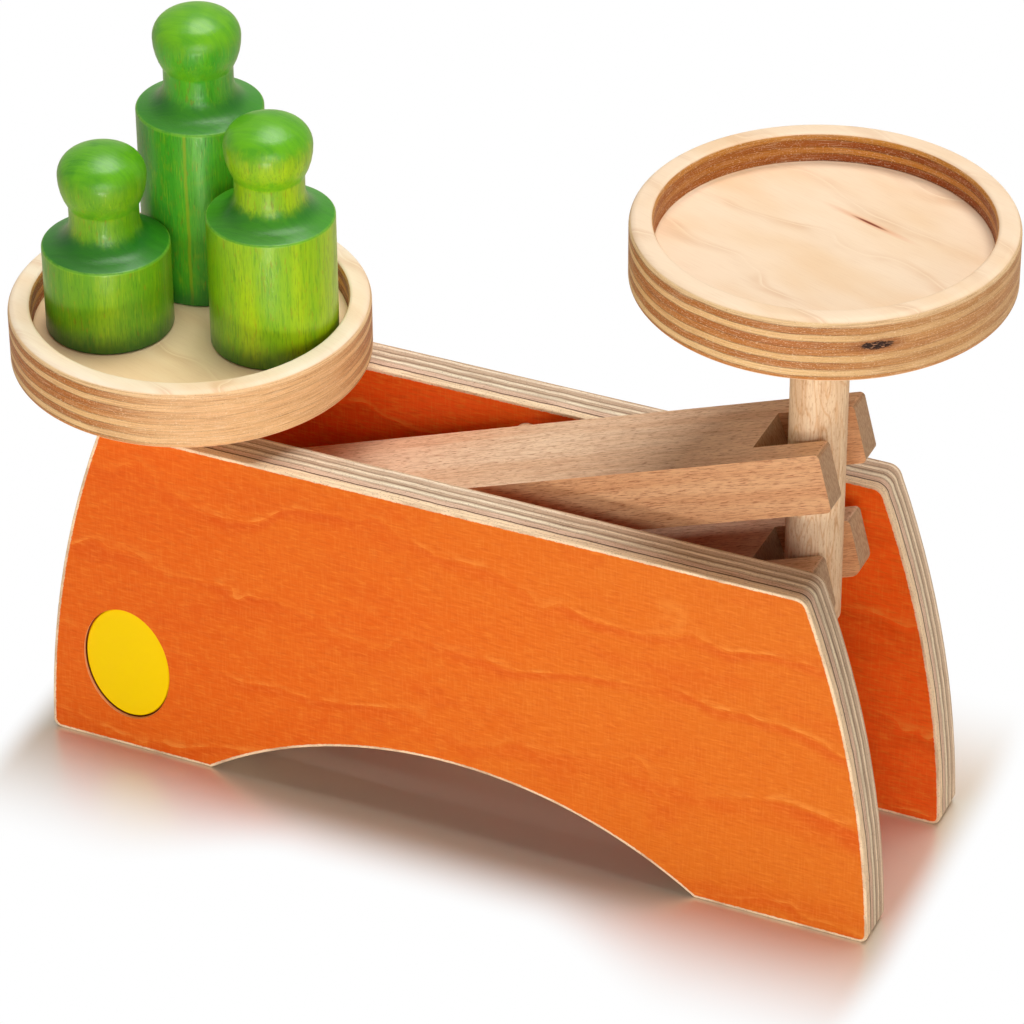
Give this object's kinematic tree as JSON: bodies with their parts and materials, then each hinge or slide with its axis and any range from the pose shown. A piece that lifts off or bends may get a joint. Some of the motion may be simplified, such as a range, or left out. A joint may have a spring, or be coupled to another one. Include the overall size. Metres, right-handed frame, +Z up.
{
  "type": "toy balance scale",
  "caption": "Wooden toy balance scale: two stained plywood side panels, two parallel forked beams, upright columns with round pans, and turned weights.",
  "frame": {"origin": "on the ground, midway between the two pans and midway between the two side panels", "axes": "+X along the beams towards the raised right pan, +Y from the front panel to the back panel, +Z up"},
  "size_m": [0.33, 0.116, 0.2406],
  "materials": {
    "stained_plywood": "orange water stain under clear lacquer on birch plywood",
    "plywood": "turned birch plywood, clear lacquer",
    "beech": "turned beech, clear lacquer",
    "beam_beech": "planed beech, clear lacquer",
    "green_beech": "green stain under clear lacquer on turned beech",
    "steel": "drawn steel rod",
    "badge": "glossy yellow, bare"
  },
  "bodies": {
    "stand": {"front_panel": "stained_plywood", "back_panel": "stained_plywood", "badge": "badge", "upper_axle": "steel", "lower_axle": "steel", "upper_front_spacer": "beech", "upper_back_spacer": "beech", "lower_front_spacer": "beech", "lower_back_spacer": "beech", "left_stop_rod": "beech", "right_stop_rod": "beech"},
    "upper_arm": {"upper_beam": "beam_beech", "upper_left_pin": "steel", "upper_right_pin": "steel"},
    "lower_arm": {"lower_beam": "beam_beech", "lower_left_pin": "steel", "lower_right_pin": "steel"},
    "left_carrier": {"left_column": "beech", "left_pan": "plywood"},
    "right_carrier": {"right_column": "beech", "right_pan": "plywood"},
    "small_weight_body": {"small_weight": "green_beech"},
    "medium_weight_body": {"medium_weight": "green_beech"},
    "tall_weight_body": {"tall_weight": "green_beech"}
  },
  "joints": [
    {"name": "beam_tip", "type": "hinge", "parent": "stand", "child": "upper_arm", "pos_m": [0, 0, 0.1125], "axis": [0, 1, 0], "range_deg": [0, 40.4]},
    {"name": "lower_beam_tip", "type": "hinge", "parent": "stand", "child": "lower_arm", "pos_m": [0, 0, 0.0705], "axis": [0, 1, 0], "range_deg": [0, 40.4]},
    {"name": "left_column_pivot", "type": "hinge", "parent": "upper_arm", "child": "left_carrier", "pos_m": [-0.10699, 0, 0.07314], "axis": [0, 1, 0], "range_deg": [-40.4, 0]},
    {"name": "right_column_pivot", "type": "hinge", "parent": "upper_arm", "child": "right_carrier", "pos_m": [0.10699, 0, 0.15186], "axis": [0, 1, 0], "range_deg": [-40.4, 0]},
    {"name": "small_weight_lift", "type": "slide", "parent": "left_carrier", "child": "small_weight_body", "axis": [0, 0, 1], "range_m": [0, 0.05]},
    {"name": "medium_weight_lift", "type": "slide", "parent": "left_carrier", "child": "medium_weight_body", "axis": [0, 0, 1], "range_m": [0, 0.05]},
    {"name": "tall_weight_lift", "type": "slide", "parent": "left_carrier", "child": "tall_weight_body", "axis": [0, 0, 1], "range_m": [0, 0.05]}
  ],
  "couplings": [
    {"joint": "lower_beam_tip", "follows": "beam_tip", "ratio": 1},
    {"joint": "left_column_pivot", "follows": "beam_tip", "ratio": -1},
    {"joint": "right_column_pivot", "follows": "beam_tip", "ratio": -1}
  ]
}
